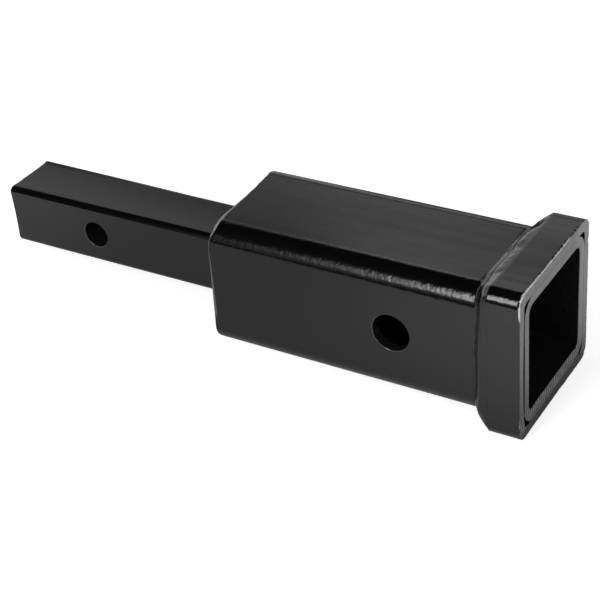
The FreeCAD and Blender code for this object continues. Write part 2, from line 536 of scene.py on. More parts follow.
class Effects:
    """The node groups that the finishes share."""

    def __init__(self) -> None:
        """Build each group once."""
        self.peel = self._peel()
        self.sawn = self._sawn()
        self.rim = self._rim()
        self.depths = self._depths()
        self.ground = self._ground()

    def _peel(self) -> bpy.types.NodeTree:
        """Build the uneven surface of a powder coat: fine peel, broad waves and lengthwise streaks."""
        tree, wiring, given, result = new_group(
            "coat_peel",
            {"Peel": 1.0, "Waves": 1.0, "Streaks": 1.0, "Flat": 0.1, "Bends": 0.0},
            ("Height", "Patches"),
        )
        place = wiring.add("ShaderNodeTexCoord").outputs["Object"]
        stretched = wiring.add("ShaderNodeMapping", {"Vector": place, "Scale": (0.12, 1, 1)}).outputs[0]
        peel = wiring.math("MULTIPLY", wiring.noise(place, 0.9, 2.0, 0.45), given.outputs["Peel"])
        waves = wiring.math("MULTIPLY", wiring.noise(place, 14.0, 1.0), given.outputs["Waves"])
        streaks = wiring.math("MULTIPLY", wiring.noise(stretched, 5.0, 1.0), given.outputs["Streaks"])
        split = wiring.add("ShaderNodeSeparateXYZ", {"Vector": place})
        wide = [wiring.math("ABSOLUTE", split.outputs[axis]) for axis in "YZ"]
        over = wiring.math("SUBTRACT", wiring.math("MINIMUM", *wide), given.outputs["Flat"])
        bent = wiring.math("MULTIPLY", wiring.step(over, -1.5 * MM, 1.0 * MM), given.outputs["Bends"])
        bends = wiring.math("MULTIPLY", wiring.noise(place, 2.6, 2.0, 0.6), bent)
        total = wiring.math("ADD", wiring.math("ADD", peel, waves), wiring.math("ADD", streaks, bends))
        patches = wiring.noise(place, 7.0, 4.0, 0.6)
        wiring.tree.links.new(total, result.inputs["Height"])
        wiring.tree.links.new(patches, result.inputs["Patches"])
        return tree

    def _sawn(self) -> bpy.types.NodeTree:
        """Build the marks of a saw cut on the faces at the mouth, strongest at the bottom, and their bare grey,
        painted lighter towards the far side as painted reflection and darker towards the bottom as painted shade.
        """
        tree, wiring, given, result = new_group("sawn_face", {"Depth": 1.0}, ("Height", "Face", "Bare_and_painted_light", "Lines"))
        place = wiring.add("ShaderNodeTexCoord").outputs["Object"]
        leaning = wiring.add(
            "ShaderNodeMapping",
            {"Vector": place, "Rotation": (math.radians(-6), 0, 0), "Scale": (1, 1, 0.08)},
        ).outputs[0]
        lines = wiring.noise(leaning, 0.8, 2.0, 0.6)
        split = wiring.add("ShaderNodeSeparateXYZ", {"Vector": place})
        face = wiring.step(split.outputs["X"], (MOUTH - 0.5) * MM, (MOUTH - 0.2) * MM)
        low = wiring.step(split.outputs["Z"], -23 * MM, -26 * MM)
        height = wiring.math("MULTIPLY", wiring.math("MULTIPLY", lines, face), given.outputs["Depth"])
        soft = wiring.math("MULTIPLY_ADD", wiring.step(lines, 0.3, 0.7), 0.5, 0.5)
        # Painted reflection and shade: the bare grey is painted lighter towards the far side and darker towards the
        # bottom.
        far = wiring.math("MULTIPLY_ADD", wiring.step(split.outputs["Y"], 18 * MM, 27 * MM), 0.64, 0.36)
        below = wiring.math("MULTIPLY_ADD", low, -0.8, 1.0)
        bare_lit_and_shaded = wiring.math("MULTIPLY", wiring.math("MULTIPLY", soft, far), below)
        slanted = wiring.add("ShaderNodeMapping", {"Vector": place, "Rotation": (math.radians(22), 0, 0)}).outputs[0]
        bent = {"Distortion": 3.0, "Detail": 2.0, "Detail Scale": 0.4}
        teeth = wiring.add(
            "ShaderNodeTexWave",
            {"Vector": slanted, "Scale": math.tau / 20 / (2.3 * MM), **bent},
            bands_direction="Y",
        ).outputs["Fac"]
        patchy = wiring.math("MULTIPLY_ADD", wiring.step(wiring.noise(place, 2.2, 2.0, 0.6), 0.35, 0.6), 0.65, 0.35)
        hard = wiring.math("MULTIPLY", wiring.step(teeth, 0.4, 0.8), patchy)
        wiring.tree.links.new(height, result.inputs["Height"])
        wiring.tree.links.new(face, result.inputs["Face"])
        wiring.tree.links.new(wiring.math("MULTIPLY", bare_lit_and_shaded, face), result.inputs["Bare_and_painted_light"])
        tube = wiring.step(split.outputs["Z"], -32.3 * MM, -31.7 * MM)
        marks = wiring.math("MULTIPLY", wiring.math("MULTIPLY", hard, low), wiring.math("MULTIPLY", face, tube))
        wiring.tree.links.new(marks, result.inputs["Lines"])
        return tree

    def _rim(self) -> bpy.types.NodeTree:
        """Build the mask of the bare metal along the mouth's worn outer edge, painted near-white as a painted
        highlight along the near part of its top.
        """
        tree, wiring, given, result = new_group("worn_rim_and_highlight", {"Half": 0.0368, "Corner": 0.0057}, ("Worn_and_painted_highlight",))
        place = wiring.add("ShaderNodeTexCoord").outputs["Object"]
        split = wiring.add("ShaderNodeSeparateXYZ", {"Vector": place})
        flat = wiring.math("SUBTRACT", given.outputs["Half"], given.outputs["Corner"])
        over = [wiring.math("SUBTRACT", wiring.math("ABSOLUTE", split.outputs[axis]), flat) for axis in "YZ"]
        clear = [wiring.math("POWER", wiring.math("MAXIMUM", value, 0.0), 2.0) for value in over]
        corner = wiring.math("SQRT", wiring.math("ADD", *clear))
        inside = wiring.math("MINIMUM", wiring.math("MAXIMUM", *over), 0.0)
        off = wiring.math("SUBTRACT", wiring.math("ADD", corner, inside), given.outputs["Corner"])
        ahead = wiring.math("SUBTRACT", split.outputs["X"], MOUTH * MM)
        square = wiring.math("ADD", wiring.math("POWER", off, 2.0), wiring.math("POWER", ahead, 2.0))
        wander = wiring.math("MULTIPLY_ADD", wiring.noise(place, 1.6, 3.0, 0.7), 1.5 * MM, 0.1 * MM)
        band = wiring.step(wiring.math("SQRT", square), wander, 0.32 * MM)
        high = wiring.step(split.outputs["Z"], 24 * MM, 28.5 * MM)
        near = wiring.step(split.outputs["Y"], 19 * MM, 11 * MM)
        speckle = wiring.step(wiring.noise(place, 0.5, 2.0, 0.6), 0.3, 0.44)
        wear_and_highlight = wiring.math("MULTIPLY", wiring.math("MULTIPLY", band, speckle), wiring.math("MULTIPLY", high, near))
        wiring.tree.links.new(wear_and_highlight, result.inputs["Worn_and_painted_highlight"])
        return tree

    def _ground(self) -> bpy.types.NodeTree:
        """Build the mask of a lighter grey band along the tube's ground rear edge, round the near top corner, paler
        towards the top.
        """
        tree, wiring, given, result = new_group("ground_edge", {"Place": TUBE_BACK * MM}, ("Pale_band",))
        place = wiring.add("ShaderNodeTexCoord").outputs["Object"]
        split = wiring.add("ShaderNodeSeparateXYZ", {"Vector": place})
        over = wiring.math("ADD", split.outputs["Y"], split.outputs["Z"])
        rise = wiring.math("MULTIPLY", wiring.step(over, -12 * MM, 2 * MM), 2.1 * MM)
        fall = wiring.math("MULTIPLY", wiring.step(over, 7 * MM, 16 * MM), -0.8 * MM)
        edge = wiring.math("ADD", wiring.math("ADD", rise, fall), given.outputs["Place"])
        away = wiring.math("SUBTRACT", split.outputs["X"], edge)
        wide = wiring.math("MULTIPLY_ADD", wiring.step(over, -9 * MM, 5 * MM), 1.1 * MM, 0.75 * MM)
        band = wiring.step(away, wide, wiring.math("MULTIPLY", wide, 0.6))
        below = wiring.math("MULTIPLY_ADD", wiring.step(over, -9 * MM, 3 * MM), 0.65, 0.35)
        along = wiring.math("MULTIPLY", wiring.step(over, -50 * MM, -45 * MM), wiring.step(over, 30 * MM, 16 * MM))
        speckle = wiring.math("MULTIPLY_ADD", wiring.noise(place, 1.2, 2.0, 0.6), 0.5, 0.6)
        lighter_band = wiring.math("MULTIPLY", wiring.math("MULTIPLY", band, below), wiring.math("MULTIPLY", along, speckle))
        wiring.tree.links.new(lighter_band, result.inputs["Pale_band"])
        return tree

    def _depths(self) -> bpy.types.NodeTree:
        """Build the mask of the thinly coated inside: the socket and a pin hole's wall, and of a lighter ring round
        the hole's rim that is partly a worn paint edge and partly a painted highlight.
        """
        tree, wiring, given, result = new_group("thin_inside", {"Half": 1.0, "Centre": 0.0, "Radius": 0.0}, ("Inside", "Rim_wear_and_highlight"))
        place = wiring.add("ShaderNodeTexCoord").outputs["Object"]
        split = wiring.add("ShaderNodeSeparateXYZ", {"Vector": place})
        wide = [wiring.math("ABSOLUTE", split.outputs[axis]) for axis in "YZ"]
        socket = wiring.math("LESS_THAN", wiring.math("MAXIMUM", *wide), given.outputs["Half"])
        along = wiring.math("SUBTRACT", split.outputs["X"], given.outputs["Centre"])
        square = wiring.math("ADD", wiring.math("POWER", along, 2.0), wiring.math("POWER", split.outputs["Z"], 2.0))
        away = wiring.math("SQRT", square)
        hole = wiring.math("MULTIPLY", wiring.math("LESS_THAN", away, given.outputs["Radius"]), 0.55)
        off = wiring.math("SUBTRACT", away, given.outputs["Radius"])
        ring = wiring.math("MULTIPLY", wiring.step(off, 0.0, 0.08 * MM), wiring.step(off, 0.65 * MM, 0.3 * MM))
        lean = wiring.math("MULTIPLY_ADD", split.outputs["Z"], 0.8, along)
        # Painted highlight: the ring is painted strongest at the lower left, where the lamp's highlight falls on the
        # rim.
        lower = wiring.math("MULTIPLY_ADD", wiring.step(lean, 2 * MM, -6 * MM), 0.85, 0.15)
        uneven = wiring.math("MULTIPLY_ADD", wiring.noise(place, 1.5, 2.0, 0.6), 0.8, 0.45)
        rim = wiring.math("MULTIPLY", wiring.math("MULTIPLY", ring, lower), uneven)
        wiring.tree.links.new(rim, result.inputs["Rim_wear_and_highlight"])
        wiring.tree.links.new(wiring.math("MAXIMUM", socket, hole), result.inputs["Inside"])
        return tree


@dataclass(frozen=True)
class PowderCoat:
    """A black powder coat on steel.

    Attributes:
        name: The material's name.
        colour: The coat's own colour.
        roughness: Its mean roughness.
        peel: Height of the fine peel, in micrometres.
        waves: Height of the broad waves, in micrometres.
        streaks: Height of lengthwise streaks, in micrometres.
        bends: Half the flat between the corners in millimetres, and the height of the ripples on them in micrometres.
        sawn: Height of the saw lines on the mouth's faces, in micrometres.
        bare: The colour of the thinly coated cut faces, laid on lighter towards the far side and darker towards the
            bottom as painted reflection and painted shade.
        rim: Whether its outer edge at the mouth is worn bare, with a painted near-white highlight along the near part
            of its top.
        ground: Whether a lighter grey band runs along the ground rear edge.
        inside: Half the socket's width and the pin hole's centre and radius, in millimetres, if thinly coated.
    """

    name: str
    colour: tuple[float, float, float] = (0.0019, 0.0019, 0.0019)
    roughness: float = 0.16
    peel: float = 2.0
    waves: float = 5.0
    streaks: float = 1.0
    bends: tuple[float, float] = (100.0, 0.0)
    sawn: float = 0.0
    bare: tuple[float, float, float] = (0.215, 0.213, 0.208)
    rim: bool = False
    ground: bool = False
    inside: tuple[float, float, float] | None = None

    def make(self, effects: Effects) -> bpy.types.Material:
        """Build the material.

        Args:
            effects: The shared node groups.

        Returns:
            The material.
        """
        material = bpy.data.materials.new(self.name)
        material.use_nodes = True
        tree = material.node_tree
        tree.nodes.clear()
        wiring = Wiring(tree)
        out = wiring.add("ShaderNodeOutputMaterial")
        shader = wiring.add("ShaderNodeBsdfPrincipled")
        shader.inputs["IOR"].default_value = 1.5
        coat = wiring.add("ShaderNodeGroup", node_tree=effects.peel)
        coat.inputs["Peel"].default_value = self.peel
        coat.inputs["Waves"].default_value = self.waves
        coat.inputs["Streaks"].default_value = self.streaks
        coat.inputs["Flat"].default_value = self.bends[0] * MM
        coat.inputs["Bends"].default_value = self.bends[1]
        height = coat.outputs["Height"]
        patches = coat.outputs["Patches"]
        rough = wiring.math("MULTIPLY_ADD", patches, 0.08, self.roughness - 0.04)
        dark = (*(value * 0.8 for value in self.colour), 1.0)
        light = (*(value * 1.25 for value in self.colour), 1.0)
        colour = wiring.mix(patches, dark, light)
        if self.inside:
            half, centre, radius = self.inside
            depths = wiring.add("ShaderNodeGroup", node_tree=effects.depths)
            depths.inputs["Half"].default_value = half * MM
            depths.inputs["Centre"].default_value = centre * MM
            depths.inputs["Radius"].default_value = radius * MM
            colour = wiring.mix(depths.outputs["Inside"], colour, (0.0125, 0.0125, 0.0125, 1.0))
            # Lighter ring round the pin hole's rim: partly a worn paint edge, partly a painted highlight.
            colour = wiring.mix(depths.outputs["Rim_wear_and_highlight"], colour, (0.062, 0.062, 0.062, 1.0))
            rough = wiring.math("MULTIPLY_ADD", depths.outputs["Inside"], 0.12, rough)
        if self.sawn:
            cut = wiring.add("ShaderNodeGroup", node_tree=effects.sawn)
            cut.inputs["Depth"].default_value = self.sawn
            height = wiring.math("ADD", height, cut.outputs["Height"])
            rough = wiring.math("MULTIPLY_ADD", cut.outputs["Face"], 0.22, rough)
            # Bare grey of the cut faces, with painted reflection towards the far side and painted shade towards the
            # bottom.
            colour = wiring.mix(cut.outputs["Bare_and_painted_light"], colour, (*self.bare, 1.0))
            colour = wiring.mix(cut.outputs["Lines"], colour, (0.34, 0.335, 0.325, 1.0))
        if self.rim:
            edge = wiring.add("ShaderNodeGroup", node_tree=effects.rim)
            wear_and_highlight = edge.outputs["Worn_and_painted_highlight"]
            # Worn bare edge, painted near-white as a painted highlight.
            colour = wiring.mix(wear_and_highlight, colour, (0.95, 0.89, 0.85, 1.0))
            rough = wiring.math("MULTIPLY_ADD", wear_and_highlight, 0.2, rough)
            tree.links.new(wiring.math("MULTIPLY", wear_and_highlight, 0.4), shader.inputs["Metallic"])
        if self.ground:
            back = wiring.add("ShaderNodeGroup", node_tree=effects.ground)
            colour = wiring.mix(back.outputs["Pale_band"], colour, (0.34, 0.34, 0.34, 1.0))
            rough = wiring.math("MULTIPLY_ADD", back.outputs["Pale_band"], 0.15, rough)
        bump = wiring.add("ShaderNodeBump", {"Height": height, "Strength": 1.0, "Distance": 1e-6})
        tree.links.new(colour, shader.inputs["Base Color"])
        tree.links.new(rough, shader.inputs["Roughness"])
        tree.links.new(bump.outputs["Normal"], shader.inputs["Normal"])
        tree.links.new(shader.outputs["BSDF"], out.inputs["Surface"])
        return material


def dress(piece: bpy.types.Object, material: bpy.types.Material, slot: str, *nodes: str) -> None:
    """Give a piece its finish, attach it to the root body and hide the CAD nodes it stands for.

    Args:
        piece: The finished piece.
        material: Its material.
        slot: Not used.
        nodes: The CAD nodes that it stands for.
    """
    piece.data.materials.clear()
    piece.data.materials.append(material)
    piece.vertex_groups.clear()
    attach(piece, "root")
    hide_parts(*nodes)
    faces = sum(len(face.vertices) - 2 for face in piece.data.polygons)
    LOG.info("%s: %d triangles, stands for %s", piece.name, faces, ", ".join(nodes))


@dataclass
class ShankBar:
    """The solid square bar that slides into the vehicle's receiver, in millimetres."""

    side: float = 31.4
    corner: float = 2.9
    hole: float = 6.75
    end_round: float = 1.0
    rim_round: float = 0.3
    dish: float = 0.32
    finish: PowderCoat = PowderCoat("black_bar_coat", peel=14.0, waves=25.0, streaks=12.0, inside=(0, 0, 6.76))

    def build(self, effects: Effects) -> None:
        """Build and dress the bar."""
        back = Outline(SHANK_END, self.side, self.corner)
        outlines = [back.grown(0, x) for x in (SHANK_END, SHANK_END + 2.5, SHANK_END + 6, -30.0, -12.0, 12.0, 40.0, TUBE_BACK)]
        bar = skin("shank", outlines, Grain(10, 11), Ends.CAPPED)
        bevel_edges(bar, lambda edge: at_place(edge, SHANK_END), self.end_round, 4)
        bore(bar, 0.0, self.hole, self.side * 2)
        bevel_edges(bar, lambda edge: on_circle(edge, 0.0, self.hole, self.side / 2), self.rim_round, 3)
        push(bar, lambda point: knocked(point, 0.0, self.hole, self.side / 2, ((4.0, 0.45), (-14.0, 0.3))))
        push(bar, self._dished)
        push(bar, self._cut)
        smooth(bar)
        dress(bar, self.finish.make(effects), "black_bar", "shank_bar")

    def _cut(self, point: Vector) -> Vector:
        """Return how far a point near the free end is moved by the uneven cut."""
        near_end = max(0.0, 1 - (point.x / MM - SHANK_END) / 5.0)
        way, _ = round_about(point, Outline(SHANK_END, self.side, self.corner))
        dent = read_off(((13.0, 0.0), (16.0, 0.35), (20.0, 0.5), (23.0, 0.45), (25.5, 0.0)), way)
        return Vector((dent * near_end * MM, 0, 0))

    def _dished(self, point: Vector) -> Vector:
        """Return how far a point of a rolled face is sunk."""
        flat = (self.side / 2 - self.corner) * MM
        half = self.side / 2 * MM
        move = Vector((0, 0, 0))
        if abs(point.y) > half - 1.2 * MM and abs(point.z) < flat:
            move.y = -math.copysign(self.dish * MM * (1 - (point.z / flat) ** 2), point.y)
        if abs(point.z) > half - 1.2 * MM and abs(point.y) < flat:
            move.z = -math.copysign(self.dish * MM * (1 - (point.y / flat) ** 2), point.z)
        if point.y > flat and point.z > flat:
            fuller = read_off(((-52.0, 0.5), (-20.0, 0.35), (2.0, 0.15), (30.0, -0.15), (55.0, -0.4)), point.x / MM)
            move += Vector((0, 0.7, 0.7)) * (fuller * MM)
        return move


# Where the tube's rear edge lies, by the way round it from the middle of the near side upwards.
REAR_EDGE = (
    (-60.0, 78.7),
    (-24.0, 78.7),
    (-14.0, 79.1),
    (0.0, 79.6),
    (12.0, 80.0),
    (22.0, 80.2),
    (26.0, 81.3),
    (30.0, 82.2),
    (34.0, 82.2),
    (38.0, 81.7),
    (42.0, 81.4),
    (48.0, 81.6),
    (56.0, 81.8),
    (66.0, 81.6),
    (74.0, 81.0),
    (84.0, 80.2),
    (110.0, 80.0),
)

# How far the tube's skin stands off the plain shape, by the way round, at its rear half and at its front half.
SKIN_REAR = (
    (-22.0, 0.0),
    (0.0, -0.08),
    (22.0, 0.0),
    (37.0, -0.14),
    (43.0, 0.0),
    (50.0, 0.07),
    (60.0, 0.15),
    (68.0, 0.18),
    (74.0, 0.17),
    (80.0, 0.17),
    (84.0, 0.19),
    (88.0, 0.21),
    (92.0, 0.19),
    (97.0, 0.0),
)
SKIN_FRONT = (
    (-22.0, 0.0),
    (0.0, -0.08),
    (22.0, 0.0),
    (37.0, 0.0),
    (42.0, -0.08),
    (50.0, -0.14),
    (59.0, -0.16),
    (66.0, -0.08),
    (76.0, 0.05),
    (80.0, 0.12),
    (84.0, 0.17),
    (88.0, 0.22),
    (92.0, 0.22),
    (97.0, 0.0),
)


# How deep the tube is undercut along the bead's toe, by the way round.
TOE_GROOVE = (
    (32.0, 0.0),
    (36.0, 0.3),
    (40.0, 0.25),
    (43.0, 0.0),
    (65.0, 0.0),
    (70.0, 0.12),
    (76.0, 0.3),
    (82.0, 0.3),
    (88.0, 0.15),
    (95.0, 0.0),
)


def rear_shift(point: Vector, outline: Outline) -> float:
    """Return how far the rear end is moved along X at a point, in millimetres."""
    way, _ = round_about(point, outline)
    jagged = 0.0
    if 50 < way < 88:
        line = Vector((way * MM, 0, 0))
        jagged = 0.35 * bump_noise(line, 2.2, 5.0) + 0.2 * bump_noise(line, 0.9, 8.0)
    return read_off(REAR_EDGE, way) - TUBE_BACK + jagged


@dataclass
class ReceiverTube:
    """The square tube that takes the drawbar, in millimetres."""

    wall: float = 4.76
    hole: float = 9.0
    hole_x: float = 173.0
    rim_round: float = 0.4
    mouth_round: float = 0.12
    burr: float = 1.5
    rear_round: float = 1.6
    finish: PowderCoat = PowderCoat(
        "black_tube_coat", peel=28.0, waves=60.0, streaks=13.0, sawn=30.0, bends=(22.75, 140.0), ground=True,
        inside=(27.2, 173.0, 9.01),
    )

    def build(self, effects: Effects) -> None:
        """Build and dress the tube."""
        outside = Outline(TUBE_BACK, TUBE_SIDE, TUBE_CORNER)
        inside = outside.grown(-self.wall, MOUTH)
        outlines = [outside.grown(0, x) for x in (TUBE_BACK, 83.0, 87.0, 94.0, 106.0, 125.0, 145.0, 158.0, 188.0, 200.0)]
        outlines += [outside.grown(0, x) for x in (211.0, 211.7, 212.2, 212.6, 213.0, 213.6, 214.5)]
        outlines += [outside.grown(-step, MOUTH - self.mouth_round + step) for step in (0.0, self.mouth_round)]
        outlines += [outside.grown(-inset, MOUTH) for inset in (1.4, 2.9, 4.2)]
        outlines += [inside.grown(0, x) for x in (MOUTH - 0.25, MOUTH - 0.9, MOUTH - 3.0, 200.0, 100.0, TUBE_BACK)]
        tube = skin("receiver", outlines, Grain(16, 17), Ends.RING)
        self._round_rear(tube)
        bore(tube, self.hole_x, self.hole, TUBE_SIDE * 2)
        bevel_edges(tube, self._rim, self.rim_round, 4)
        push(tube, self._worked)
        smooth(tube)
        dress(tube, self.finish.make(effects), "black_tube", "receiver_tube")

    def _rim(self, edge: Any) -> bool:
        """Say whether an edge is the hole's outer rim."""
        return on_circle(edge, self.hole_x, self.hole, TUBE_SIDE / 2)

    def _round_rear(self, tube: bpy.types.Object) -> None:
        """Round the rear edge, most where it was ground at the near top corner."""
        outside = Outline(TUBE_BACK, TUBE_SIDE, TUBE_CORNER)
        weights = tube.data.attributes.new("bevel_weight_edge", "FLOAT", "EDGE")
        for edge in tube.data.edges:
            ends = [tube.data.vertices[index].co for index in edge.vertices]
            rear = all(abs(end.x - TUBE_BACK * MM) < 0.01 * MM for end in ends)
            if rear and all(off_outline(end, outside) > -0.01 for end in ends):
                way, _ = round_about((ends[0] + ends[1]) / 2, outside)
                ground = read_off(((18.0, 0.35), (26.0, 0.8), (32.0, 1.0), (46.0, 0.9), (54.0, 0.25)), way)
                weights.data[edge.index].value = ground
        finish_modifier(
            tube, "BEVEL", limit_method="WEIGHT", width=self.rear_round * MM, segments=4, use_clamp_overlap=False
        )

    def _worked(self, point: Vector) -> Vector:
        """Return how far a point is off the plain tube: dished faces, a skew rear end, a sawn lip."""
        outside = Outline(TUBE_BACK, TUBE_SIDE, TUBE_CORNER)
        move = knocked(point, self.hole_x, self.hole, TUBE_SIDE / 2, ((218.0, -0.6), (206.0, -0.25)))
        way, out = round_about(point, outside)
        near_rear = 1 - min(1.0, (point.x / MM - TUBE_BACK) / 18.0)
        if near_rear > 0:
            move.x += rear_shift(point, outside) * near_rear**2 * MM
        if off_outline(point, outside) > -0.02:
            front = read_off(((105.0, 0.0), (152.0, 1.0)), point.x / MM)
            height = read_off(SKIN_REAR, way) * (1 - front) + read_off(SKIN_FRONT, way) * front
            toe = max(0.0, 1 - abs(point.x / MM - 212.5) / 1.0)
            move += out * ((height - read_off(TOE_GROOVE, way) * toe) * MM)
        lip = off_outline(point, outside) < -self.wall + 0.02 and point.x / MM > MOUTH - 0.5
        if lip and point.z / MM < -self.wall * 5:
            lifted = ((-27.0, 0.3), (-23.0, 0.55), (-21.2, 0.6), (-20.2, 1.0), (22.0, 1.0), (25.0, 0.3))
            move.z += self.burr * MM * read_off(lifted, point.y / MM)
        return move


@dataclass
class BackPlate:
    """The plate inside the tube's rear end, in millimetres."""

    side: float = 53.38
    corner: float = 3.94
    thick: float = 6.35
    edge_round: float = 0.4
    finish: PowderCoat = PowderCoat("black_plate_coat", peel=3.0, waves=8.0, streaks=0.0, roughness=0.3)

    def build(self, effects: Effects) -> None:
        """Build and dress the plate."""
        rear = Outline(TUBE_BACK, self.side, self.corner)
        plate = skin("rear_plate", [rear, rear.grown(0, TUBE_BACK + self.thick)], Grain(8), Ends.CAPPED)
        front = TUBE_BACK + self.thick
        bevel_edges(plate, lambda edge: at_place(edge, front), self.edge_round, 2)
        smooth(plate)
        dress(plate, self.finish.make(effects), "black_plate", "back_plate")


@dataclass
class MouthCollar:
    """The band round the mouth, in millimetres."""

    side: float = 73.62
    corner: float = 5.7
    bore_side: float = 64.1
    bore_corner: float = 3.0
    edge_round: float = 0.25
    skin: tuple[tuple[float, float], ...] = (
        (-31.0, 0.0),
        (-16.0, -0.35),
        (0.0, -0.6),
        (14.0, -0.7),
        (23.0, -0.6),
        (31.0, 0.0),
        (40.0, 0.0),
        (47.0, -0.22),
        (53.0, -0.33),
        (59.0, -0.36),
        (71.0, -0.3),
        (83.0, -0.22),
        (89.0, -0.22),
        (95.0, -0.28),
        (102.0, -0.3),
        (111.0, 0.0),
    )
    finish: PowderCoat = PowderCoat(
        "black_collar_coat", peel=28.0, waves=60.0, streaks=10.0, sawn=20.0, bends=(31.1, 110.0), rim=True
    )

    def build(self, effects: Effects) -> None:
        """Build and dress the collar."""
        outer = Outline(COLLAR_BACK, self.side, self.corner)
        inner = Outline(MOUTH, self.bore_side, self.bore_corner)
        start = MOUTH - self.edge_round
        backs = (COLLAR_BACK, 220.6, 220.9, 221.3, 221.8, 222.6, 226.0, 230.0, 233.0)
        outlines = [outer.grown(0, x) for x in (*backs, 234.0, 234.4, 234.8, start)]
        for turn in (30, 60, 90):
            angle = math.radians(turn)
            drop = self.edge_round * (1 - math.cos(angle))
            outlines.append(outer.grown(-drop, start + self.edge_round * math.sin(angle)))
        outlines += [outer.grown(-inset, MOUTH) for inset in (0.8, 1.2, 1.7, 2.6)]
        share = Outline(MOUTH, (self.side + 3 * self.bore_side) / 4, (self.corner + 3 * self.bore_corner) / 4)
        outlines += [share, inner, inner.grown(0, 228.0), inner.grown(0, COLLAR_BACK)]
        collar = skin("collar", outlines, Grain(14, 110), Ends.RING)
        push(collar, self._worked)
        smooth(collar, 40)
        dress(collar, self.finish.make(effects), "black_collar", "mouth_collar")

    def _worked(self, point: Vector) -> Vector:
        """Return how far a point is off the plain collar: dished faces and a knocked front edge."""
        outline = Outline(MOUTH, self.side, self.corner)
        way, out = round_about(point, outline)
        away = off_outline(point, outline)
        move = Vector((0, 0, 0))
        if away > -0.02:
            move += out * ((read_off(self.skin, way) - self.back_drop(way, point.x / MM)) * MM)
        inner = Outline(MOUTH, self.bore_side, self.bore_corner)
        if abs(off_outline(point, inner)) < 0.02:
            move -= out * (read_off(SEAM_FILL, way) * MM)
        edge = math.hypot(max(0.0, MOUTH - point.x / MM), max(0.0, -away))
        if edge < 1.4:
            line = Vector((way * MM, 0, 0))
            knocks = max(0.0, bump_noise(line, 2.6, 5.0) - 0.05) + 0.7 * max(0.0, bump_noise(line, 1.0, 9.0))
            depth = knocks * read_off(EDGE_WEAR, way) * (1 - edge / 1.4)
            move += Vector((-0.5, 0, 0)) * (depth * MM) - out * (depth * MM)
        if point.z < -0.034 and away > -0.6 and point.x / MM > 233.5:
            move.z += MM * read_off(((-30.0, 0.0), (-24.0, 0.3), (9.6, 0.3), (10.3, 0.0)), point.y / MM)
        return move

    @staticmethod
    def back_drop(way: float, x: float) -> float:
        """Return how far the back edge is rounded down at a place, in millimetres."""
        drop = read_off(((31.0, 0.45), (45.0, 0.12)), way)
        reach = read_off(((31.0, 0.32), (45.0, 0.8)), way)
        return drop * max(0.0, 1 - (x - COLLAR_BACK) / reach)


# How far the collar's bore is filled towards the tube, by the way round.
SEAM_FILL = (
    (-45.0, 0.15),
    (-30.0, 0.1),
    (-25.0, -0.5),
    (-18.0, -1.0),
    (-4.0, -1.3),
    (8.0, -1.0),
    (18.0, -0.7),
    (24.0, -0.5),
    (32.0, -0.1),
    (34.6, 0.6),
    (36.4, 0.8),
    (38.0, 0.2),
    (42.0, 0.29),
    (100.0, 0.29),
    (112.0, 0.1),
    (130.0, 0.15),
    (170.0, 0.15),
)
# How hard the collar's front outer edge is knocked, by the way round.
EDGE_WEAR = (
    (-100.0, 0.25),
    (-40.0, 0.2),
    (16.0, 0.15),
    (24.0, 0.3),
    (32.0, 0.6),
    (40.0, 0.35),
    (66.0, 0.35),
    (78.0, 0.7),
    (92.0, 0.8),
    (104.0, 0.4),
    (112.0, 0.5),
    (180.0, 0.5),
)


# The bead's height over the tube, by place along X, on top and on the near side.
BEAD_TOP = (
    (212.2, -0.1),
    (212.45, 0.02),
    (212.9, 0.17),
    (213.3, 0.38),
    (214.0, 0.6),
    (214.35, 0.8),
    (215.0, 1.6),
    (216.2, 2.8),
    (216.6, 3.05),
    (217.6, 3.58),
    (219.0, 4.32),
    (220.32, 5.03),
)
BEAD_SIDE = (
    (212.2, -0.1),
    (212.4, 0.02),
    (212.9, 0.27),
    (213.2, 0.5),
    (216.05, 3.7),
    (216.45, 4.02),
    (216.8, 4.2),
    (218.0, 4.42),
    (219.4, 4.58),
    (220.32, 5.05),
)
# How far the bead's rear line strays along X, by the way round.
BEAD_STRAY = (
    (-40.0, -0.3),
    (-24.0, -0.5),
    (-12.0, 0.0),
    (6.0, 0.05),
    (13.0, 0.5),
    (20.0, 1.3),
    (26.0, 1.6),
    (33.0, 0.8),
    (38.0, 0.3),
    (44.0, -0.4),
    (52.0, 0.0),
    (60.0, 0.1),
    (68.0, -0.6),
    (78.0, -0.5),
    (84.0, 0.2),
    (97.0, 0.0),
)


def straight(table: tuple[tuple[float, float], ...], where: float) -> float:
    """Read a value off a table along straight lines between its entries."""
    for (start, low), (end, high) in zip(table, table[1:]):
        if where <= end:
            return low + (high - low) * max(0.0, (where - start) / (end - start))
    return table[-1][1]


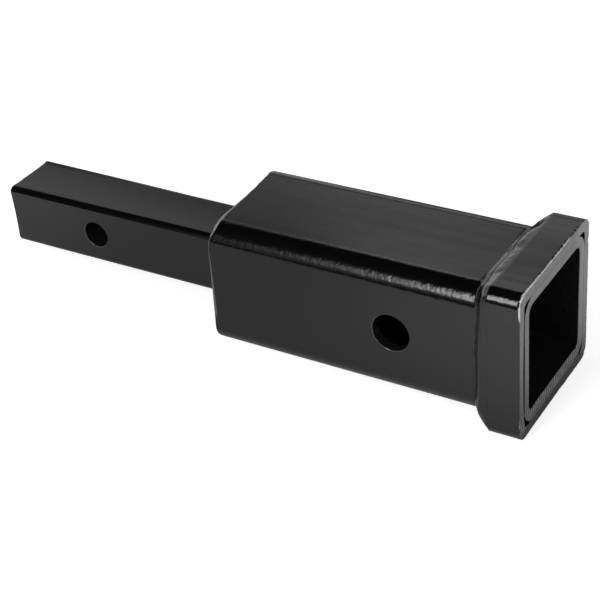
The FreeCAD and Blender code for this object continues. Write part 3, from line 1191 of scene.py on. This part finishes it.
@dataclass
class CollarWeld:
    """The bead behind the collar: a low toe, a step and a full slope, in millimetres."""

    collar_side: float = 73.62
    collar_corner: float = 5.7
    finish: PowderCoat = PowderCoat("black_weld_coat", peel=16.0, waves=30.0, streaks=0.0, roughness=0.15)

    def build(self, effects: Effects) -> None:
        """Build and dress the bead."""
        tube = Outline(MOUTH, TUBE_SIDE, TUBE_CORNER)
        places = (
            212.2, 212.45, 212.7, 212.95, 213.2, 213.5, 213.8, 214.1, 214.4, 214.65, 214.9, 215.1, 215.3,
            215.55, 215.8, 216.05, 216.3, 216.65, 217.0, 217.5, 218.0, 218.75, 219.5, 219.9, 220.32,
        )
        outlines = [self._section(tube, x) for x in places]
        outlines += [tube.grown(-0.4, places[-1]), tube.grown(-0.4, 216.0), tube.grown(-0.4, places[0])]
        bead = skin("mouth_bead", outlines, Grain(14, 90), Ends.RING)
        push(bead, self._laid)
        smooth(bead, 70)
        dress(bead, self.finish.make(effects), "black_weld", "collar_weld")

    def _section(self, tube: Outline, x: float) -> Outline:
        """Return the bead's mean outline at a place."""
        height = (straight(BEAD_TOP, x) + straight(BEAD_SIDE, x)) / 2
        share = height / 5.06
        return Outline(x, tube.side + 2 * height, tube.corner + (self.collar_corner - tube.corner) * share)

    def _laid(self, point: Vector) -> Vector:
        """Return how far a point of the bead is off its mean place."""
        tube = Outline(MOUTH, TUBE_SIDE, TUBE_CORNER)
        if off_outline(point, tube) < -0.25:
            return Vector((0, 0, 0))
        way, out = round_about(point, tube)
        x = point.x / MM
        line = Vector((way * MM, 0, 0))
        free = max(0.0, min(1.0, (COLLAR_BACK - x) / 3.0))
        stray = read_off(BEAD_STRAY, way) + 0.3 * bump_noise(line, 8.0, 2.0) + 0.1 * bump_noise(line, 2.5, 7.0)
        there = x - stray * free
        up = max(0.0, out.z) ** 2
        height = straight(BEAD_TOP, there) * up + straight(BEAD_SIDE, there) * (1 - up)
        far = read_off(((-48.0, 1.0), (-30.0, 1.0), (-24.0, 0.0), (74.0, 0.0), (85.0, 1.0), (108.0, 1.0)), way)
        height += (5.03 * max(0.0, (there - 213.7) / 6.62) - height) * far
        collar = MouthCollar()
        collar_way, _ = round_about(point, Outline(MOUTH, collar.side, collar.corner))
        onto = read_off(((216.5, 0.0), (COLLAR_BACK, 1.0)), x)
        height += read_off(collar.skin, collar_way) * onto
        height -= collar.back_drop(collar_way, COLLAR_BACK) * max(0.0, min(1.0, (x - 219.4) / 0.9))
        height -= 1.3 * read_off(TOE_GROOVE, way) * max(0.0, 1 - abs(x - 212.5) / 1.0)
        mean = (straight(BEAD_TOP, x) + straight(BEAD_SIDE, x)) / 2
        swell = 0.1 * bump_noise(point, 4.0, 4.0) + 0.05 * bump_noise(point, 1.5, 6.0)
        return out * ((height - mean + swell * free * min(1.0, max(0.0, x - 212.2))) * MM)


@dataclass
class PlateWeld:
    """The low bead over the joint between the tube's rear end and its plate, in millimetres."""

    height: float = 1.2
    finish: PowderCoat = PowderCoat("black_rear_weld_coat", peel=5.0, waves=8.0, streaks=0.0, roughness=0.18)

    def build(self, effects: Effects) -> None:
        """Build and dress the bead."""
        tube = Outline(TUBE_BACK, TUBE_SIDE, TUBE_CORNER)
        sections = (
            (0.0, 1.1), (0.4, 1.35), (0.75, 1.9), (0.95, 2.8), (1.0, 4.0),
            (0.9, 5.1), (0.6, 6.2), (0.2, 7.0), (-0.1, 7.3), (-0.4, 7.3), (-0.4, 1.1),
        )
        outlines = [tube.grown(-inset, TUBE_BACK - self.height * share) for share, inset in sections]
        bead = skin("rear_bead", outlines, Grain(12, 60), Ends.RING)

        def laid(point: Vector) -> Vector:
            """Return how far a point lies off the even bead."""
            way, _ = round_about(point, tube)
            proud = max(0.0, TUBE_BACK - point.x / MM) / self.height
            wave = 0.14 * math.sin(way * math.tau / 2.6 + 1.2 * bump_noise(point, 6.0, 8.0))
            rough = 0.25 * bump_noise(point, 6.0, 1.0)
            inset = -off_outline(point, tube)
            outer = max(0.0, min(1.0, (7.3 - inset) / 5.0))
            shift = rear_shift(point, tube) * outer
            return Vector((((shift - (wave + rough) * proud)) * MM, 0, 0))

        push(bead, laid)
        smooth(bead, 60)
        dress(bead, self.finish.make(effects), "black_weld", "back_plate_weld")


@dataclass
class ShankWeld:
    """The fillet round the shank, against the plate, in millimetres."""

    shank_side: float = 31.4
    shank_corner: float = 2.9
    leg: float = 6.0
    finish: PowderCoat = PowderCoat("black_shank_weld_coat", peel=3.0, waves=8.0, streaks=0.0, roughness=0.18)

    def build(self, effects: Effects) -> None:
        """Build and dress the fillet."""
        bar = Outline(TUBE_BACK, self.shank_side, self.shank_corner)
        steps = 8
        outlines = []
        for index in range(steps + 1):
            turn = index / steps
            height = self.leg * (turn + 0.18 * math.sin(turn * math.pi)) - 0.1
            outlines.append(bar.grown(height, TUBE_BACK - self.leg * (1 - turn) + 0.1 * turn))
        outlines.append(bar.grown(-0.3, TUBE_BACK + 0.1))
        outlines.append(bar.grown(-0.3, TUBE_BACK - self.leg))
        bead = skin("shank_bead", outlines, Grain(10, 30), Ends.RING)

        def ripple(point: Vector) -> Vector:
            """Return how far a point lies off the even fillet."""
            way, out = round_about(point, bar)
            back = (TUBE_BACK - point.x / MM) / self.leg
            free = max(0.0, math.sin(max(0.0, min(1.0, back)) * math.pi))
            wave = 0.2 * math.sin(way * math.tau / 2.4 + 1.5 * bump_noise(point, 5.0, 3.0))
            rough = 0.3 * bump_noise(point, 5.0, 2.0)
            return (out + Vector((-1, 0, 0))) * ((wave + rough) * free * 0.7 * MM)

        push(bead, ripple)
        smooth(bead, 60)
        dress(bead, self.finish.make(effects), "black_weld", "shank_weld")


@dataclass
class Studio:
    """The floor, the backdrop, the lamps and the camera, in metres and degrees."""

    azimuth: float = 33.88
    elevation: float = 32.98
    roll: float = -5.52
    eye: tuple[float, float, float] = (0.44089, -0.49804, 0.36961)
    focal: float = 1507.24
    floor_tilt: float = math.degrees(math.atan2(5.06, 140.1))

    def build(self) -> None:
        """Set up the whole studio."""
        self._camera()
        self._floor()
        self._backdrop()
        self._lamps()
        self._world()
        bpy.context.scene.view_settings.view_transform = "Standard"

    def _camera(self) -> None:
        """Place the camera as the photograph was taken."""
        turn, rise, roll = (math.radians(value) for value in (self.azimuth, self.elevation, self.roll))
        back = Vector((math.sin(turn) * math.cos(rise), -math.cos(turn) * math.cos(rise), math.sin(rise)))
        right = (-back).cross(Vector((0, 0, 1))).normalized()
        up = right.cross(-back)
        across = right * math.cos(roll) + up * math.sin(roll)
        upright = up * math.cos(roll) - right * math.sin(roll)
        data = bpy.data.cameras.new("photo_camera")
        data.sensor_width = 36
        data.lens = self.focal * data.sensor_width / PHOTO_WIDTH
        data.clip_start = 0.01
        camera = bpy.data.objects.new("photo_camera", data)
        bpy.context.collection.objects.link(camera)
        camera.matrix_world = Matrix.Translation(self.eye) @ Matrix((across, upright, back)).transposed().to_4x4()
        bpy.context.scene.camera = camera

    def _white(self, name: str, grey: float, shown: float, look: Callable[[Wiring], tuple[Any, Any]]) -> Any:
        """Build a plain pale surface that shows white and keeps shadows.

        Args:
            name: The material's name.
            grey: Its grey under the lamps.
            shown: Light added for the camera.
            look: Gives the surface's fade and the light added in reflections.

        Returns:
            The material.
        """
        material = bpy.data.materials.new(name)
        material.use_nodes = True
        tree = material.node_tree
        tree.nodes.clear()
        wiring = Wiring(tree)
        fade, mirrored = look(wiring)
        out = wiring.add("ShaderNodeOutputMaterial")
        tone = wiring.math("MULTIPLY", fade, grey)
        colour = wiring.add("ShaderNodeCombineColor", {0: tone, 1: tone, 2: tone}).outputs[0]
        surface = wiring.add("ShaderNodeBsdfDiffuse", {"Color": colour})
        path = wiring.add("ShaderNodeLightPath")
        seen = wiring.math("MULTIPLY", path.outputs["Is Camera Ray"], shown)
        gloss = wiring.math("MAXIMUM", path.outputs["Is Glossy Ray"], path.outputs["Is Transmission Ray"])
        level = wiring.math("ADD", seen, wiring.math("MULTIPLY", gloss, mirrored))
        glow = wiring.add("ShaderNodeEmission", {"Strength": level})
        both = wiring.add("ShaderNodeAddShader", {0: surface.outputs[0], 1: glow.outputs[0]})
        tree.links.new(both.outputs[0], out.inputs["Surface"])
        return material

    def _panel(self, name: str, size: tuple[float, float], place: tuple[float, float, float],
               turn: tuple[float, float, float], material: bpy.types.Material) -> None:
        """Add one flat stage piece."""
        deselect_all()
        bpy.ops.mesh.primitive_plane_add(size=1)
        panel = bpy.context.object
        panel.name = name
        panel.scale = (*size, 1)
        panel.rotation_euler = turn
        panel.location = place
        settle(panel)
        panel.data.materials.append(material)

    def _floor(self) -> None:
        """Lay the table under the two edges that the adapter rests on."""
        tilt = math.radians(self.floor_tilt)
        touch = Vector((COLLAR_BACK * MM, 0, -0.03681))
        reach = 0.10
        place = touch + Vector((-math.cos(tilt), 0, math.sin(tilt))) * reach

        def look(wiring: Wiring) -> tuple[Any, Any]:
            """Return a full surface, brighter to the front right and behind the mouth."""
            where = wiring.add("ShaderNodeTexCoord").outputs["Object"]
            split = wiring.add("ShaderNodeSeparateXYZ", {"Vector": where})
            gloss = wiring.add("ShaderNodeLightPath").outputs["Is Glossy Ray"]
            # Painted light: in reflections the floor glows brighter to the front right and behind the mouth, and is
            # painted darker further back.
            right = wiring.step(split.outputs["X"], 0.06, 0.24)
            left = wiring.step(split.outputs["X"], 0.0, -0.08)
            out = wiring.step(split.outputs["Y"], 0.0, -0.12)
            ahead = wiring.step(split.outputs["X"], 0.232, 0.27)
            behind = wiring.math("MULTIPLY", wiring.step(split.outputs["Y"], -0.04, 0.02), ahead)
            front = wiring.math("MULTIPLY", wiring.math("MULTIPLY", right, out), 0.62)
            glow = wiring.math("MULTIPLY_ADD", behind, 1.0, front)
            back = wiring.math("MULTIPLY", wiring.step(split.outputs["Y"], 0.06, 0.12), wiring.math("SUBTRACT", 1.0, ahead))
            dimmed = wiring.math("MULTIPLY", wiring.math("MULTIPLY", back, gloss), -0.93)
            return wiring.math("ADD", dimmed, 1.0), wiring.math("MULTIPLY_ADD", left, 0.2, glow)

        self._panel("floor", (0.95, 0.60), (place.x, place.y + 0.11, place.z), (0, tilt, 0),
                    self._white("floor_white", 0.8, 0.72, look))

    def _backdrop(self) -> None:
        """Bend a pale card round behind the adapter."""
        deselect_all()
        bpy.ops.mesh.primitive_cylinder_add(
            vertices=96, radius=1.25, depth=1.75, end_fill_type="NOTHING", location=(0.1, 0, 0.83)
        )
        card = bpy.context.object
        card.name = "backdrop"
        settle(card)
        with editing(card, Pick.FACES) as mesh:
            choose(card, mesh, mesh.faces, lambda face: face.calc_center_median().y < 0.25 - 0.5 * (face.calc_center_median().x < 0))
            bpy.ops.mesh.delete(type="FACE")

        def look(wiring: Wiring) -> tuple[Any, Any]:
            """Return the card's fade towards its top, and its glow in reflections."""
            where = wiring.add("ShaderNodeTexCoord").outputs["Object"]
            split = wiring.add("ShaderNodeSeparateXYZ", {"Vector": where})
            # Painted light and shade: the card's grey and its glow in reflections fade towards its top and are
            # painted in lighter and darker patches across it.
            fade = wiring.step(split.outputs["Z"], 1.4, 0.35)
            side = wiring.math("MULTIPLY_ADD", wiring.step(split.outputs["X"], -0.64, -0.42), 0.5, 0.5)
            end = wiring.math("MULTIPLY", wiring.step(split.outputs["X"], -0.98, -1.08), 0.4)
            low = wiring.step(split.outputs["Z"], 0.6, 0.3)
            foot = wiring.step(split.outputs["Z"], 0.3, 0.15)
            bright = wiring.math("MULTIPLY", wiring.step(split.outputs["X"], -0.5, -0.6), 0.95)
            dim = wiring.math("MULTIPLY_ADD", wiring.step(split.outputs["X"], -0.5, -0.4), -0.47, -0.25)
            dimmed = wiring.math("MULTIPLY_ADD", low, dim, 1.0)
            base = wiring.math("MULTIPLY_ADD", foot, bright, dimmed)
            level = wiring.math("MULTIPLY", wiring.math("MULTIPLY", fade, wiring.math("ADD", side, end)), base)
            return level, wiring.math("MULTIPLY", level, 0.85)

        card.data.materials.append(self._white("backdrop_white", 0.8, 1.0, look))

    def _softbox(self, name: str, turn: float, rise: float, away: float, size: tuple[float, float],
                 radiance: float, mirrored: bool) -> None:
        """Add one soft lamp aimed at the adapter.

        Args:
            name: Its name.
            turn: Degrees to the left of straight in front.
            rise: Degrees above level.
            away: Its distance, in metres.
            size: Its width and height, in metres.
            radiance: Its brightness as a surface.
            mirrored: Whether reflections show it.
        """
        aim = Vector((0.16, 0, 0))
        angle, lift = math.radians(turn), math.radians(rise)
        toward = Vector((-math.sin(angle) * math.cos(lift), -math.cos(angle) * math.cos(lift), math.sin(lift)))
        data = bpy.data.lights.new(name, "AREA")
        data.shape = "RECTANGLE"
        data.size, data.size_y = size
        data.energy = radiance * math.pi * size[0] * size[1]
        data.color = (0.955, 0.975, 1.0)
        lamp = bpy.data.objects.new(name, data)
        bpy.context.collection.objects.link(lamp)
        lamp.location = aim + toward * away
        lamp.rotation_euler = toward.to_track_quat("Z", "Y").to_euler()
        lamp.visible_camera = False
        lamp.visible_glossy = mirrored

    def _lamps(self) -> None:
        """Hang the lamps."""
        self._softbox("key_softbox", 11.5, 26.9, 1.0, (0.332, 0.58), 8.4, True)
        self._softbox("key_spill", 20, 24, 1.02, (0.36, 0.46), 0.9, True)
        self._softbox("side_card", 17, 13, 1.6, (1.05, 1.0), 0.35, True)
        self._softbox("sky_softbox", 20, 80, 1.6, (1.8, 1.8), 0.5, False)
        self._softbox("fill_softbox", -60, 35, 1.6, (1.2, 1.2), 0.4, False)

    def _world(self) -> None:
        """Surround the studio with white for the camera and dark for reflections."""
        world = bpy.data.worlds.new("studio")
        bpy.context.scene.world = world
        world.use_nodes = True
        tree = world.node_tree
        tree.nodes.clear()
        wiring = Wiring(tree)
        out = wiring.add("ShaderNodeOutputWorld")
        path = wiring.add("ShaderNodeLightPath")
        soft = wiring.math("MULTIPLY", path.outputs["Is Diffuse Ray"], 0.25)
        level = wiring.math("ADD", wiring.math("ADD", path.outputs["Is Camera Ray"], soft), 0.012)
        back = wiring.add("ShaderNodeBackground", {"Color": (1, 1, 1, 1), "Strength": level})
        tree.links.new(back.outputs[0], out.inputs["Surface"])


def main() -> None:
    """Build the adapter piece by piece, then the studio."""
    effects = Effects()
    for part in (ShankBar(), ReceiverTube(), BackPlate(), MouthCollar(), CollarWeld(), PlateWeld(), ShankWeld()):
        part.build(effects)
    Studio().build()
    deselect_all()


if __name__ == "__main__":
    main()
